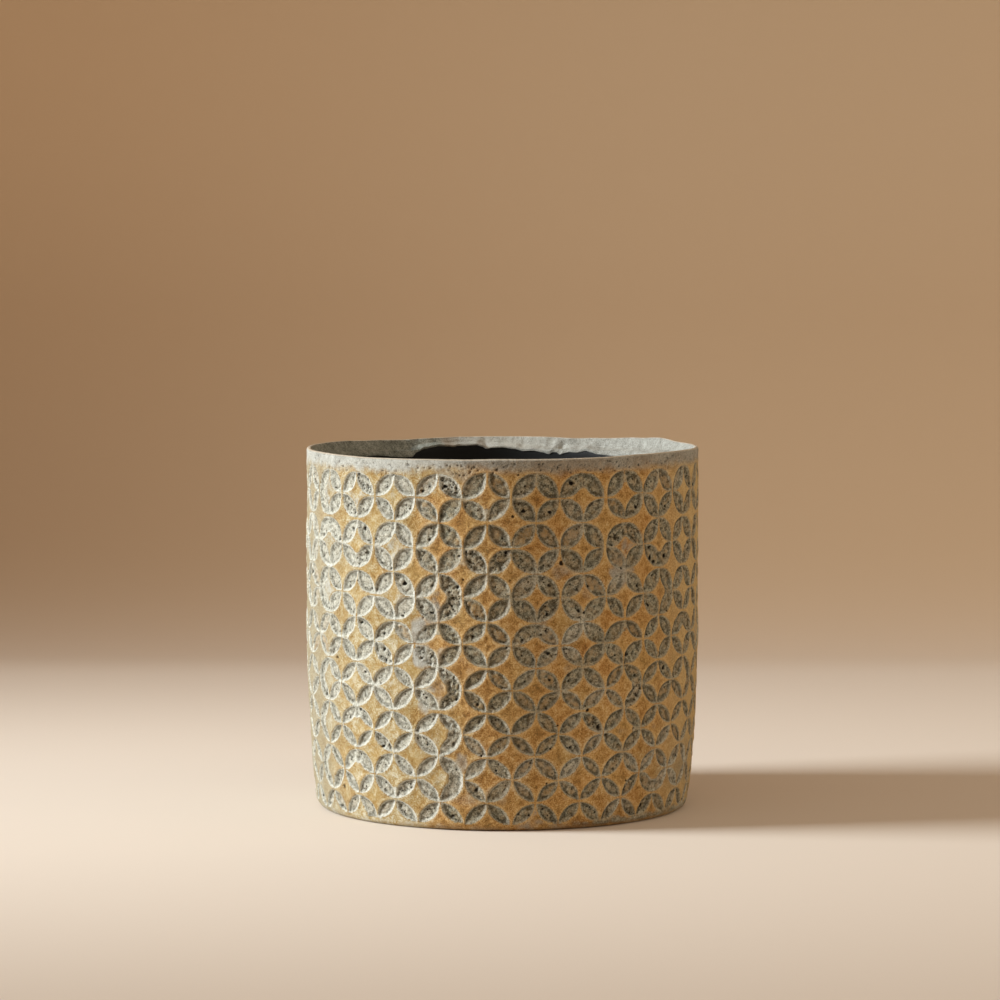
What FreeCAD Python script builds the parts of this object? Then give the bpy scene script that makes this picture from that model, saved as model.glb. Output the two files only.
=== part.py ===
"""Floor planter: a cast cement pot with a relief of interlaced circles, and its black plastic liner.

Millimetres, +Z up, origin in the middle of the face that the pot stands on, -Y to the front.
"""
import FreeCAD, Part
import math
import os

import Sketcher
from FreeCAD import Matrix, Placement, Rotation, Vector

# Driving dimensions: every size that can be set by itself, written once.
SIZES = {
    # Pot
    "outside_diameter": 300.0,
    "height": 275.0,
    "foot_draw": 7.0,
    "foot_round": 7.0,
    "taper_height": 126.0,
    "wall_thickness": 11.0,
    "floor_thickness": 15.0,
    # Rim and the cement lip that holds the liner down
    "rim_edge": 3.5,
    "rim_chamfer": 1.0,
    "lip_depth": 10.0,
    "lip_cover": 0.8,
    # Relief of interlaced circles
    "columns": 26,
    "full_rows": 7,
    "plain_band": 10.5,
    "row_height": 36.9,
    "row_shrink_share": 0.98,
    "first_column_turn": -4.4,
    "ridge_width": 0.9,
    "tip_gap": 1.3,
    "recess_depth": 3.5,
    "overrun": 1.0,
    # Liner
    "liner_wall": 1.5,
    "liner_clearance": 0.3,
}

doc = FreeCAD.newDocument("planter")
sheet = doc.addObject("Spreadsheet::Sheet", "Sizes")
for row, (alias, value) in enumerate(SIZES.items(), start=1):
    sheet.set("A%d" % row, alias)
    sheet.set("B%d" % row, str(value))
    sheet.setAlias("B%d" % row, alias)
doc.recompute()


def size(alias):
    """A driving dimension, read from the sheet."""
    return float(sheet.get(alias))


# Radii and heights that several pieces share, as expressions on the sheet.
WELL_RADIUS = "(Sizes.outside_diameter / 2 - Sizes.wall_thickness)"
LINER_RADIUS = "(%s - Sizes.liner_clearance)" % WELL_RADIUS
LINER_BORE = "(%s - Sizes.liner_wall)" % LINER_RADIUS
LINER_TOP = "(Sizes.height - Sizes.lip_depth)"
LINER_FLOOR = "(Sizes.floor_thickness + Sizes.liner_wall)"


def turned_body(label, corners):
    """A body turned about Z from a closed outline in its XZ plane.

    corners are (radius, height) expressions on the sheet, in order round the outline.
    """
    body = doc.addObject("PartDesign::Body", label)
    body.Label = label
    plane = [item for item in body.Origin.OriginFeatures if item.Role == "XZ_Plane"][0]
    sketch = body.newObject("Sketcher::SketchObject", label + "_outline")
    sketch.AttachmentSupport = [(plane, "")]
    sketch.MapMode = "FlatFace"
    points = [Vector(sketch.evalExpression(x), sketch.evalExpression(y), 0) for x, y in corners]
    count = len(points)
    for side in range(count):
        sketch.addGeometry(Part.LineSegment(points[side], points[(side + 1) % count]), False)
    for side in range(count):
        sketch.addConstraint(Sketcher.Constraint("Coincident", side, 2, (side + 1) % count, 1))
    for corner, (x, y) in enumerate(corners):
        fix_distance(sketch, "DistanceX", corner, points[corner].x, x)
        fix_distance(sketch, "DistanceY", corner, points[corner].y, y)
    turn = body.newObject("PartDesign::Revolution", label + "_turn")
    turn.Profile = sketch
    turn.ReferenceAxis = (sketch, ["V_Axis"])
    turn.Angle = 360
    body.Tip = turn
    return body


def fix_distance(sketch, kind, corner, value, expression):
    """Ties a corner of a sketch to the sheet, or to an axis where its distance is nought."""
    if expression == "0":
        axis = -2 if kind == "DistanceX" else -1
        sketch.addConstraint(Sketcher.Constraint("PointOnObject", corner, 1, axis))
        return
    number = sketch.addConstraint(Sketcher.Constraint(kind, -1, 1, corner, 1, value))
    sketch.setExpression("Constraints[%d]" % number, expression)


# Well: the space inside the pot, with the groove that traps the liner's edge under the lip.
well = turned_body("well", [
    ("0", "Sizes.floor_thickness"),
    (WELL_RADIUS, "Sizes.floor_thickness"),
    (WELL_RADIUS, LINER_TOP),
    (LINER_BORE + " + Sizes.liner_wall - Sizes.lip_cover", LINER_TOP),
    ("Sizes.outside_diameter / 2 - Sizes.rim_edge", "Sizes.height"),
    ("Sizes.outside_diameter / 2 - Sizes.rim_edge", "Sizes.height + Sizes.overrun"),
    ("0", "Sizes.height + Sizes.overrun"),
])


# Wall: upright above, drawn in below by one long curve that ends at the foot's round edge.
def wall_radius(z):
    """The radius of the pot's wall at a height."""
    outer = size("outside_diameter") / 2
    across = size("foot_draw")
    rise = size("taper_height") - size("foot_round")
    curve = (across ** 2 + rise ** 2) / (2 * across)
    below = max(size("taper_height") - z, 0)
    return outer - curve + math.sqrt(curve ** 2 - below ** 2)


def relief_rows():
    """The rows of circles from the top down, as (top, height); each is a little lower than the last.

    The row after the full ones is the half row at the foot.
    """
    rows = []
    top = size("height") - size("plain_band")
    row_height = size("row_height")
    for row in range(int(size("full_rows")) + 1):
        rows.append((top, row_height))
        top -= row_height
        row_height *= size("row_shrink_share")
    return rows


def wall_outline():
    """The wall from the floor to the rim, as (radius, height), with a corner where two rows meet."""
    outer = size("outside_diameter") / 2
    foot = outer - size("foot_draw")
    edge = size("foot_round")
    lean = math.pi / 4
    outline = [
        (foot - edge, 0),
        (foot - edge + edge * math.sin(lean), edge - edge * math.cos(lean)),
        (foot, edge),
    ]
    for top, row_height in reversed(relief_rows()):
        if edge < top < size("taper_height"):
            outline.append((wall_radius(top), top))
    outline.append((outer, size("height") - size("rim_chamfer")))
    outline.append((outer - size("rim_chamfer"), size("height")))
    return outline


def column_pitch():
    """The angle that one column of the relief takes, in radians."""
    return 2 * math.pi / size("columns")


def at_turn(radius, z, turn):
    """The point at a radius and height, turned about Z from +X."""
    return Vector(radius * math.cos(turn), radius * math.sin(turn), z)


def flat_face(*corners):
    """A flat face with these corners."""
    return Part.Face(Part.makePolygon(list(corners) + [corners[0]]))


def solid_slice():
    """One column's slice of the pot before the relief, with a flat on each side of its middle."""
    half = column_pitch() / 2
    outline = wall_outline()
    edges = [[at_turn(radius, z, turn) for radius, z in outline] for turn in (-half, 0, half)]
    low = Vector(0, 0, 0)
    high = Vector(0, 0, size("height"))
    faces = [
        flat_face(low, *[edge[0] for edge in edges]),
        flat_face(high, *[edge[-1] for edge in edges]),
        flat_face(low, *edges[0], high),
        flat_face(low, *edges[-1], high),
    ]
    for left, right in zip(edges, edges[1:]):
        for level in range(len(outline) - 1):
            faces.append(flat_face(left[level], right[level], right[level + 1], left[level + 1]))
    return outward_solid(faces)


def outward_solid(faces):
    """A solid from the flat faces that close it."""
    solid = Part.Solid(Part.Shell(faces))
    if solid.Volume < 0:
        solid.reverse()
    return solid


# Relief: each circle holds four leaf-shaped recesses round a raised star with four points.
def leaf_cutter(length):
    """The solid that leaves one leaf recess: long axis X, outward Z, deepest in the middle.

    length is from node to node of the circle. Both sides of a leaf are quarter circles through
    the nodes, here in three straight runs each, and every run slopes down to the deepest point.
    """
    half = length / 2
    shoulder = half * math.sin(math.pi / 12) / math.sin(math.pi / 4)
    half_width = half * math.tan(math.pi / 8) - size("ridge_width") / 2
    tip = half - size("tip_gap")
    corners = [
        (-tip, 0),
        (-shoulder, -half_width),
        (shoulder, -half_width),
        (tip, 0),
        (shoulder, half_width),
        (-shoulder, half_width),
    ]
    depth = size("recess_depth")
    over = size("overrun")
    spread = (depth + over) / depth
    rim = [Vector(along * spread, across * spread, over) for along, across in corners]
    deepest = Vector(0, 0, -depth)
    slopes = [flat_face(start, end, deepest) for start, end in zip(rim, rim[1:] + rim[:1])]
    return outward_solid([flat_face(*rim)] + slopes)


def leaf_pair(row_top, row_height, up):
    """The two leaves of a row's upper half, where up is 1, or of its lower half, where up is -1."""
    quarter = column_pitch() / 4
    band_bottom = max(row_top - row_height, size("foot_round"))
    draw = (wall_radius(row_top) - wall_radius(band_bottom)) / (row_top - band_bottom)
    draw *= math.cos(quarter)
    rise = row_height / 2
    middle = row_top - rise + up * rise / 2
    radius = wall_radius(row_top) * math.cos(quarter) - draw * (row_top - middle)
    width = 2 * radius * math.tan(quarter)
    slope = math.hypot(rise, rise * draw)
    cutter = leaf_cutter(math.hypot(width, slope))
    leaves = []
    for side in (-1, 1):
        outward = at_turn(1, 0, side * quarter)
        sideways = Vector(-outward.y, outward.x, 0)
        upward = (outward * draw + Vector(0, 0, 1)).normalize()
        along = (sideways * -side * width + upward * up * slope).normalize()
        normal = sideways.cross(upward)
        across = normal.cross(along)
        spot = outward * radius + Vector(0, 0, middle)
        leaf = cutter.copy()
        leaf.Placement = Placement(Matrix(
            along.x, across.x, normal.x, spot.x,
            along.y, across.y, normal.y, spot.y,
            along.z, across.z, normal.z, spot.z,
            0, 0, 0, 1,
        ))
        leaves.append(leaf)
    return leaves


def column_of_leaves():
    """Every leaf of one column: four to a circle, and the upper two of the half row's circle."""
    leaves = []
    rows = relief_rows()
    for row_top, row_height in rows:
        leaves += leaf_pair(row_top, row_height, 1)
    for row_top, row_height in rows[:-1]:
        leaves += leaf_pair(row_top, row_height, -1)
    return leaves


plain_slice = doc.addObject("Part::Feature", "plain_slice")
plain_slice.Shape = solid_slice()

relief_slice = doc.addObject("Part::Feature", "relief_slice")
relief_slice.Shape = plain_slice.Shape.cut(column_of_leaves())


# Pot: one relief slice for each column, set side by side and joined, then hollowed by the well.
def ring_of_slices(slice_shape):
    """The slices of every column in one solid."""
    columns = int(size("columns"))
    slices = []
    for column in range(columns):
        turned = slice_shape.copy()
        turn = size("first_column_turn") - 90 + 360 * column / columns
        turned.rotate(Vector(0, 0, 0), Vector(0, 0, 1), turn)
        slices.append(turned)
    return slices[0].fuse(slices[1:]).Solids[0]


solid_pot = doc.addObject("Part::Feature", "solid_pot")
solid_pot.Shape = ring_of_slices(relief_slice.Shape)

cement_pot = doc.addObject("Part::Cut", "cement_pot")
cement_pot.Label = "cement_pot"
cement_pot.Base = solid_pot
cement_pot.Tool = well
cement_pot.Refine = False
cement_pot.Placement = Placement(Vector(0, 0, 0), Rotation())

# Liner: a thin cup that stands on the well's floor, with its edge under the cement lip.
liner = turned_body("liner", [
    ("0", "Sizes.floor_thickness"),
    (LINER_RADIUS, "Sizes.floor_thickness"),
    (LINER_RADIUS, LINER_TOP),
    (LINER_BORE, LINER_TOP),
    (LINER_BORE, LINER_FLOOR),
    ("0", LINER_FLOOR),
])
liner.Placement = Placement(Vector(0, 0, 0), Rotation())
doc.recompute()
if not relief_slice.Shape.Volume < plain_slice.Shape.Volume:
    raise RuntimeError("the relief cuts nothing")
if not cement_pot.Shape.Volume < solid_pot.Shape.Volume:
    raise RuntimeError("the well cuts nothing")

# Checks, then one file for each sub-part.
for item in doc.Objects:
    if "Invalid" in item.State or "Error" in item.State:
        raise RuntimeError("%s did not build" % item.Label)
sub_parts = [cement_pot, liner]
for sub_part in sub_parts:
    if sub_part.Shape.isNull() or not sub_part.Shape.isValid():
        raise RuntimeError("%s has no valid shape" % sub_part.Label)

os.makedirs("parts", exist_ok=True)
for sub_part in sub_parts:
    sub_part.Shape.exportStep(os.path.join("parts", sub_part.Label + ".step"))
    print(sub_part.Label, round(sub_part.Shape.Volume), "mm3", len(sub_part.Shape.Faces), "faces")
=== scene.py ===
import math
import bpy
import numpy as np
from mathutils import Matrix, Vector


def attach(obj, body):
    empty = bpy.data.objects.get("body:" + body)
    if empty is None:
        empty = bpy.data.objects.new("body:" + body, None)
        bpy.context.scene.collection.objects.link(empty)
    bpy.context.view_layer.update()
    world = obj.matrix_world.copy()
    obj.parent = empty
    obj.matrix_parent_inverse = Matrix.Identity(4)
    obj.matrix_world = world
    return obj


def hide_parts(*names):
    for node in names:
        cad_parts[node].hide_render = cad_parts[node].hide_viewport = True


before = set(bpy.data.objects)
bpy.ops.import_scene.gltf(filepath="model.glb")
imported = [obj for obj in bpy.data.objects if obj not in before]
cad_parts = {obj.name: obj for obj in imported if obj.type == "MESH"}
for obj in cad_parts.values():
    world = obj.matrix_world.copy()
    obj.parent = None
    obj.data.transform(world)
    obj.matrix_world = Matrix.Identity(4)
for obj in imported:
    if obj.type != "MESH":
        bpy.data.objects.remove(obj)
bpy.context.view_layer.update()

# ---------------------------------------------------------------- sizes, in millimetres and degrees
MM = 0.001              # metres in a millimetre
RIM_Z = 275.0           # the rim's mean height
WALL_R = 150.0          # outside radius above the taper
TAPER_Z = 126.0         # below this height the wall draws in ...
TAPER_ARC = 1015.0      # ... along an arc of this radius
FOOT_R = 136.0          # the flat underside
FOOT_ROUND = 7.0        # the foot's rounded edge
LIP_ROUND = 1.6         # the rim's outer edge ...
LIP_INNER_ROUND = 1.2   # ... and its inner edge
LIP_THICK = 3.4
SMEAR_R = 136.55        # where the smeared inner band ends, just inside the liner
WELL_R = 139.0          # the well that the liner stands in
WELL_FLOOR = 15.0
LINER_R = 138.7
LINER_BORE = 137.2
LINER_FLOOR = 16.5
LINER_TOP = 265.0       # the lowest that the liner's edge stands ...
LINER_COVER = 1.6       # ... and how far it always reaches up behind the smear
LINER_OUTER_ROUND = 2.5
LINER_INNER_ROUND = 7.0
LINER_EDGE = 0.35       # the small bevels of the liner's edge

COLUMNS = 26
ROWS = 8                # seven full rows and a half row at the foot
FIRST_TURN = -4.4       # where column 0 is centred, from the front towards the right
PITCH = 360.0 / COLUMNS
CELL = 36.0             # a column's width along the wall
AROUND = COLUMNS * 46           # points round the pot ...
LINER_AROUND = COLUMNS * 16     # ... and round the liner
WALL_RINGS = 340
FOOT_STEPS, LIP_STEPS, BAND_STEPS = 9, 4, 22
LINER_OUTER_STEPS, LINER_INNER_STEPS = 11, 55
RIGHT_ANGLE = math.pi / 2

# heights of the rows' upper edges, from the rim down, and the cut-off row's lower edge
ROW_Z = [264.5, 228.0, 190.7, 155.3, 121.5, 88.6, 55.7, 21.4, -11.4]

# (turn, height) pairs: the rim round the pot, and where the smeared cement ends on the liner
RIM_WAVE = [(-54, 274.4), (-41, 274.1), (-30, 274.3), (-21, 274.5), (-12, 274.6), (-1, 275.1),
            (11, 275.0), (16, 275.05), (29, 275.3), (43, 276.2), (63, 276.5), (88, 275.8),
            (111, 275.4), (123.5, 277.2), (133, 276.0), (148, 274.3), (157, 273.6), (168, 274.3),
            (181, 274.3), (193, 274.2), (203, 273.7), (213, 273.0), (225, 273.7), (239, 274.8),
            (262, 275.2), (285, 274.8)]
SMEAR_EDGE = [(-146, 259.4), (-132, 262.2), (-118, 260.6), (-101, 263.8), (-84, 262.6), (-66, 265.0),
              (-49, 263.0), (-33, 265.4), (-16, 263.4), (2, 264.6), (19, 262.0), (35, 264.2),
              (52, 262.8), (70, 265.6), (88, 263.0), (104, 265.2), (121, 262.6), (133, 261.6),
              (140.6, 261.0), (146.4, 261.8), (148.9, 263.2), (150.7, 264.2), (154.4, 262.4),
              (156.9, 262.8), (158.6, 261.9), (160.4, 260.6), (161.4, 262.4), (162.8, 262.4),
              (164.1, 260.9), (166.5, 262.2), (169.5, 263.3), (172.8, 263.0), (175.8, 264.6),
              (179.8, 265.7), (183.4, 265.5), (185.2, 264.8), (187.0, 266.7), (188.7, 267.8),
              (192.3, 267.3), (195.0, 267.3), (196.7, 266.5), (198.8, 267.1), (201.6, 267.4),
              (204.0, 266.7), (206.9, 265.7), (209.8, 263.3), (211.7, 259.5)]

# ---------------------------------------------------------------- curves and noise
# the numbers of a 32-bit hash, which makes the same noise on every machine
HASH_X, HASH_Y, HASH_Z = np.uint64(374761393), np.uint64(668265263), np.uint64(2246822519)
HASH_SEED, HASH_START = 3266489917, 97
HASH_MIX = ((13, 1274126177), (15, 2654435761))
WORD = np.uint64(0xFFFFFFFF)


def smooth(x, low, high):
    """0 below low and 1 above high, with a soft step between them."""
    t = np.clip((x - low) / (high - low), 0.0, 1.0)
    return t * t * (3.0 - 2.0 * t)


def ease(t, share):
    """t from 0 to 1, with its two ends softened by share."""
    return (1.0 - share) * t + share * smooth(t, 0.0, 1.0)


def bell(x, middle, width):
    return np.exp(-((x - middle) / width) ** 2)


def steps(n, end=1.0):
    """n equal steps from 0 to end, without the 0."""
    return np.linspace(0.0, end, n + 1)[1:]


def lattice(ix, iy, iz, seed):
    """A number from 0 to 1 that depends only on a lattice point and the seed."""
    h = (ix.astype(np.uint64) * HASH_X + iy.astype(np.uint64) * HASH_Y
         + iz.astype(np.uint64) * HASH_Z + np.uint64(seed * HASH_SEED + HASH_START)) & WORD
    for shift, factor in HASH_MIX:
        h = ((h ^ (h >> np.uint64(shift))) * np.uint64(factor)) & WORD
    return (h ^ (h >> np.uint64(16))).astype(np.float64) / float(WORD)


def noise(p, cell, seed):
    """Smooth noise from -1 to 1 at points in millimetres, with lumps as wide as cell.
    Each noise has a seed of its own, which has nothing to do with the draws below."""
    q = p / cell + 4096.0       # keeps every lattice number above zero
    i = np.floor(q)
    f = smooth(q - i, 0.0, 1.0)
    i = i.astype(np.int64)
    out = 0.0
    for dx in (0, 1):
        wx = f[..., 0] if dx else 1.0 - f[..., 0]
        for dy in (0, 1):
            wy = f[..., 1] if dy else 1.0 - f[..., 1]
            for dz in (0, 1):
                wz = f[..., 2] if dz else 1.0 - f[..., 2]
                corner = lattice(i[..., 0] + dx, i[..., 1] + dy, i[..., 2] + dz, seed)
                out = out + wx * wy * wz * corner
    return out * 2.0 - 1.0


def layered(p, seed, *layers):
    """A sum of noises, one for each (amount, cell), with seeds that follow on."""
    return sum(amount * noise(p, cell, seed + n) for n, (amount, cell) in enumerate(layers))


def blend_max(x, y, k):
    """The larger of two distances, rounded over k where they meet."""
    h = np.clip(k - np.abs(x - y), 0.0, None) / k
    return np.maximum(x, y) + h * h * k * 0.25


def spread_out(field, n):
    """The mean over a square of 2n + 1 grid steps, closed round the pot."""
    out = sum(np.roll(field, d, axis=1) for d in range(-n, n + 1)) / (2 * n + 1)
    padded = np.pad(out, ((n, n), (0, 0)), mode="edge")
    return sum(padded[d:d + len(field)] for d in range(2 * n + 1)) / (2 * n + 1)


def round_curve(table, degrees):
    """A closed smooth curve through (turn, value) pairs."""
    pairs = sorted(((a + 180.0) % 360.0 - 180.0, v) for a, v in table)
    a = np.array([pairs[-1][0] - 360.0] + [p[0] for p in pairs] + [pairs[0][0] + 360.0])
    v = np.array([pairs[-1][1]] + [p[1] for p in pairs] + [pairs[0][1]])
    d = (degrees + 180.0) % 360.0 - 180.0
    j = np.clip(np.searchsorted(a, d, side="right") - 1, 0, len(a) - 2)
    t = smooth((d - a[j]) / (a[j + 1] - a[j]), 0.0, 1.0)
    return v[j] * (1.0 - t) + v[j + 1] * t


def polar(r, degrees, z):
    """Points from radius, turn (0 at the front, -Y) and height."""
    t = np.radians(degrees)
    return np.stack(np.broadcast_arrays(r * np.sin(t), -r * np.cos(t), z), axis=-1)


def wall_radius(z):
    below = np.clip(TAPER_Z - z, 0.0, TAPER_Z)
    return WALL_R - TAPER_ARC + np.sqrt(TAPER_ARC ** 2 - below ** 2)


def along_wall(degrees):
    """The length of an arc of the wall."""
    return degrees * math.radians(1.0) * WALL_R


# ---------------------------------------------------------------- the circles and their faults
# Each cell holds one circle: four leaf recesses, NW NE SW SE, round a four-armed star. The faults of
# the front half are read off the photograph, by (column, row); the others are drawn by lot.
# N E S W: an arm of the star is missing, n e s w: it is low, g: the star is greyed,
# wX: leaf X has stain in it, pX: it is full of pits, bX: it has one big pit, dX: it is cut large.
FAULTS = {
    (-4, 0): "W g", (-3, 0): "g pNE pSW", (-2, 0): "", (-1, 0): "wNW wSW pNE", (0, 0): "wNE s",
    (-4, 1): "N g", (-3, 1): "S pSE", (-2, 1): "n g", (-1, 1): "wNE", (0, 1): "wNE pSW pSE",
    (-4, 2): "W g", (-3, 2): "", (-2, 2): "bNE", (-1, 2): "E pNE pSE", (0, 2): "wSW",
    (-3, 3): "w", (-2, 3): "wNE pSW", (-1, 3): "n pSW", (0, 3): "wNE",
    (-4, 4): "W", (-2, 4): "", (-1, 4): "E g pNE pSE", (0, 4): "wSW wNE",
    (-4, 5): "W", (-3, 5): "N", (-2, 5): "pSW", (-1, 5): "E pNE", (0, 5): "",
    (-4, 6): "W", (-3, 6): "N", (-2, 6): "s pSE", (-1, 6): "E", (0, 6): "",
    (1, 0): "n bSW bSE dNE", (2, 0): "N bNW", (3, 0): "n wSW bSE", (4, 0): "wNE bSE",
    (1, 1): "wNW wNE", (2, 1): "wNW", (3, 1): "N g pNW pNE wSW", (4, 1): "S bSE bSW", (5, 1): "",
    (1, 2): "pSE", (2, 2): "wNE", (3, 2): "", (4, 2): "E", (5, 2): "",
    (1, 3): "N wNE", (2, 3): "", (3, 3): "wNE n", (4, 3): "", (5, 3): "N",
    (1, 4): "wNE", (2, 4): "dNE", (3, 4): "E pSE", (4, 4): "bNE", (5, 4): "E",
    (1, 5): "", (2, 5): "pNE", (3, 5): "e", (4, 5): "", (5, 5): "",
    (1, 6): "dNE", (2, 6): "dNE", (3, 6): "pSE", (4, 6): "S", (5, 6): "",
}
# smears of bare cement over the relief: turn, height, half width, strength
SMEARS = [(-19.0, 160.0, 11.0, 1.0), (-24.0, 149.0, 9.0, 0.9), (-23.5, 127.0, 9.0, 1.0),
          (-16.5, 131.0, 7.0, 0.7), (-22.0, 94.0, 8.0, 0.8), (-12.0, 51.0, 7.0, 0.7),
          (-30.0, 171.0, 6.0, 0.6), (36.0, 193.0, 12.0, 0.9), (41.0, 214.0, 8.0, 0.7),
          (10.0, 157.0, 9.0, 0.7), (20.0, 122.0, 7.0, 0.5), (24.5, 176.0, 6.0, 0.5)]
LEAVES = ("NW", "NE", "SW", "SE")
ARMS = "NESW"
ARM_WAYS = ((0.0, -1.0), (1.0, 0.0), (0.0, 1.0), (-1.0, 0.0))
ARM_GONE, ARM_LOW = 1.0, 0.5
# the shapes of the tables: cells, their corners, and the four leaves or arms of each cell
CELLS, CORNERS, FOURS = (COLUMNS, ROWS), (COLUMNS, ROWS + 1), (COLUMNS, ROWS, 4)

# every draw from here on comes in a fixed order
rng = np.random.default_rng(26)


def some(share, value, shape):
    """value in a random share of the places, and 0 in the others."""
    return np.where(rng.random(shape) < share, value, 0.0)


# a leaf lies inside its cell's circle (a) and inside the circle round the cell's corner (b);
# shifts and radii are in cells, depths in millimetres
shift_a = rng.normal(0.0, 0.010, CELLS + (2,))
shift_b = rng.normal(0.0, 0.009, CORNERS + (2,))
low_row = np.array([0.0, 0.0, 0.0, 0.25, 0.85, 1.0, 1.0, 1.0])     # the lower rows are drawn rounder
radius_a = 0.484 - 0.004 * low_row + rng.normal(0.0, 0.008, CELLS)
radius_b = 0.491 + np.clip(rng.normal(0.0, 0.005, CORNERS), -0.012, 0.006)
depth = 1.55 + rng.normal(0.0, 0.20, FOURS)
squareness = rng.random(CELLS)
wash = some(0.16, 0.9, FOURS) * rng.uniform(0.5, 1.0, FOURS)
wash = np.maximum(wash, rng.uniform(0.1, 0.45, FOURS))
pitted = np.where(rng.random(FOURS) < 0.18, 1.0, 0.25)
big_pit = rng.random(FOURS) < 0.07
grow = rng.normal(0.0, 0.006, FOURS)
tilt = rng.normal(0.0, 0.35, FOURS + (2,))
missing = np.maximum(some(0.035, ARM_GONE, FOURS), some(0.06, ARM_LOW, FOURS))
greyed = some(0.09, 0.5, CELLS)
for (k, r), words in FAULTS.items():
    c = k % COLUMNS
    missing[c, r], greyed[c, r], big_pit[c, r], pitted[c, r] = 0.0, 0.0, False, 0.3
    wash[c, r] = np.minimum(wash[c, r], 0.4 if k >= 0 else 0.15)
    if k >= 0 and r > 3:
        wash[c, r] = rng.uniform(0.2, 0.95, 4)
    for word in words.split():
        if len(word) == 3:
            kind, n = word[0], LEAVES.index(word[1:])
            if kind == "w":
                wash[c, r, n] = 1.0
            elif kind == "p":
                pitted[c, r, n] = 1.3
            elif kind == "b":
                big_pit[c, r, n] = True
            else:
                grow[c, r, n] = 0.022
        elif word == "g":
            greyed[c, r] = 0.55
        else:
            missing[c, r, ARMS.index(word.upper())] = ARM_GONE if word.isupper() else ARM_LOW

# ---------------------------------------------------------------- the outer wall as a grid
step_t = 360.0 / AROUND
turn = np.arange(AROUND) * step_t - 180.0 + FIRST_TURN - 0.5 * PITCH
rim_z = round_curve(RIM_WAVE, turn)
smear_z = round_curve(SMEAR_EDGE, turn)
wall_z = np.linspace(FOOT_ROUND, RIM_Z - LIP_ROUND, WALL_RINGS)
foot_a = steps(FOOT_STEPS, RIGHT_ANGLE)[:-1]
foot_r = FOOT_R + FOOT_ROUND * np.sin(foot_a)
foot_fit = wall_radius(FOOT_ROUND) / (FOOT_R + FOOT_ROUND)      # makes the rounding meet the wall
all_z = np.concatenate([FOOT_ROUND * (1.0 - np.cos(foot_a)), wall_z])
base_r = np.concatenate([foot_r * foot_fit, wall_radius(wall_z)])

Z, T = np.meshgrid(all_z, turn, indexing="ij")      # height and turn of every point of the wall
R = np.repeat(base_r[:, None], AROUND, axis=1)
P = polar(R, T, Z)
n_fine, n_mid, n_big = noise(P, 1.7, 11), noise(P, 3.6, 12), noise(P, 9.0, 13)

# column and row numbers with fractions; hand-laid lines wander and lean a little
warp_x = layered(P, 1, (0.55, 13.0), (0.25, 5.0))
warp_y = layered(P, 3, (0.55, 13.0), (0.25, 5.0))
row_at = np.interp(-Z, [-z for z in ROW_Z], np.arange(len(ROW_Z)))
row_at = np.where(Z > ROW_Z[0], (ROW_Z[0] - Z) / (ROW_Z[0] - ROW_Z[1]), row_at)
lean = -1.5 * smooth(row_at, 2.0, 6.5) * smooth(-T, 8.0, 45.0) * smooth(T, -130.0, -95.0)
U = (T - lean - FIRST_TURN) / PITCH + warp_x / CELL
V = row_at + warp_y / CELL

# the cell that each point is in, the place in it from -0.5 to 0.5, and the leaf
K = np.floor(U + 0.5).astype(int)
J = np.clip(np.floor(V).astype(int), 0, ROWS - 1)
a = U - K
b = V - J - 0.5
cell = (K % COLUMNS, J)
east = (a > 0).astype(int)
south = (b > 0).astype(int)
leaf = cell + (south * 2 + east,)
corner = ((K - 1 + east) % COLUMNS, J + south)
low_here = low_row[J]

# how far each point is inside the two circles, in millimetres; where an arm is missing or low, the
# corner's circle reaches over it, from 0.31 to 0.50 of a cell out from the star's middle
ax = a - shift_a[cell + (0,)]
ay = b - shift_a[cell + (1,)]
power = 2.0 + (0.15 + 0.25 * squareness[cell]) * (1.0 - 0.8 * low_here)
rho_a = (np.abs(ax) ** power + np.abs(ay) ** power) ** (1.0 / power)
in_a = (radius_a[cell] - rho_a) * CELL
bx = a - (east - 0.5) - shift_b[corner + (0,)]
by = b - (south - 0.5) - shift_b[corner + (1,)]
rho_b = np.hypot(bx, by)
swell = (0.050 - 0.042 * low_here) * (2.0 * np.abs(bx * by) / (rho_b ** 2 + 1e-6)) ** 1.5
in_b = (radius_b[corner] + grow[leaf] + swell - rho_b) * CELL
for n, (ex, ey) in enumerate(ARM_WAYS):
    gone = missing[cell + (n,)] > 0.7
    lowered = (missing[cell + (n,)] > 0.3) & ~gone
    along = np.clip(ax * ex + ay * ey, 0.31, 0.50)
    away = np.hypot(ax - along * ex, ay - along * ey)
    merge = (0.070 + 0.045 * gone - away) * CELL
    in_b = np.where(gone, blend_max(in_b, merge, 2.6), in_b)
    in_b = np.where(lowered, np.maximum(in_b, np.minimum(merge, -0.05)), in_b)

# cut: how far a point is inside its leaf; the top circles stop at the plain band, and nothing is
# cut past the half row
UNCUT = -9.0
cut = np.minimum(in_a, in_b)
past_foot = (V > ROWS - 0.44) | ((J == ROWS - 1) & (south == 1))
cut = np.where((Z > ROW_Z[0] + 3.0) | past_foot, UNCUT, cut)
edge_lump = 0.10 * n_fine + 0.14 * n_mid
cut = cut + edge_lump
inside = ease(np.clip((cut + 0.60) / 1.5, 0.0, 1.0), 0.4)
star = (in_a > 0) & (cut < 0)

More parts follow.
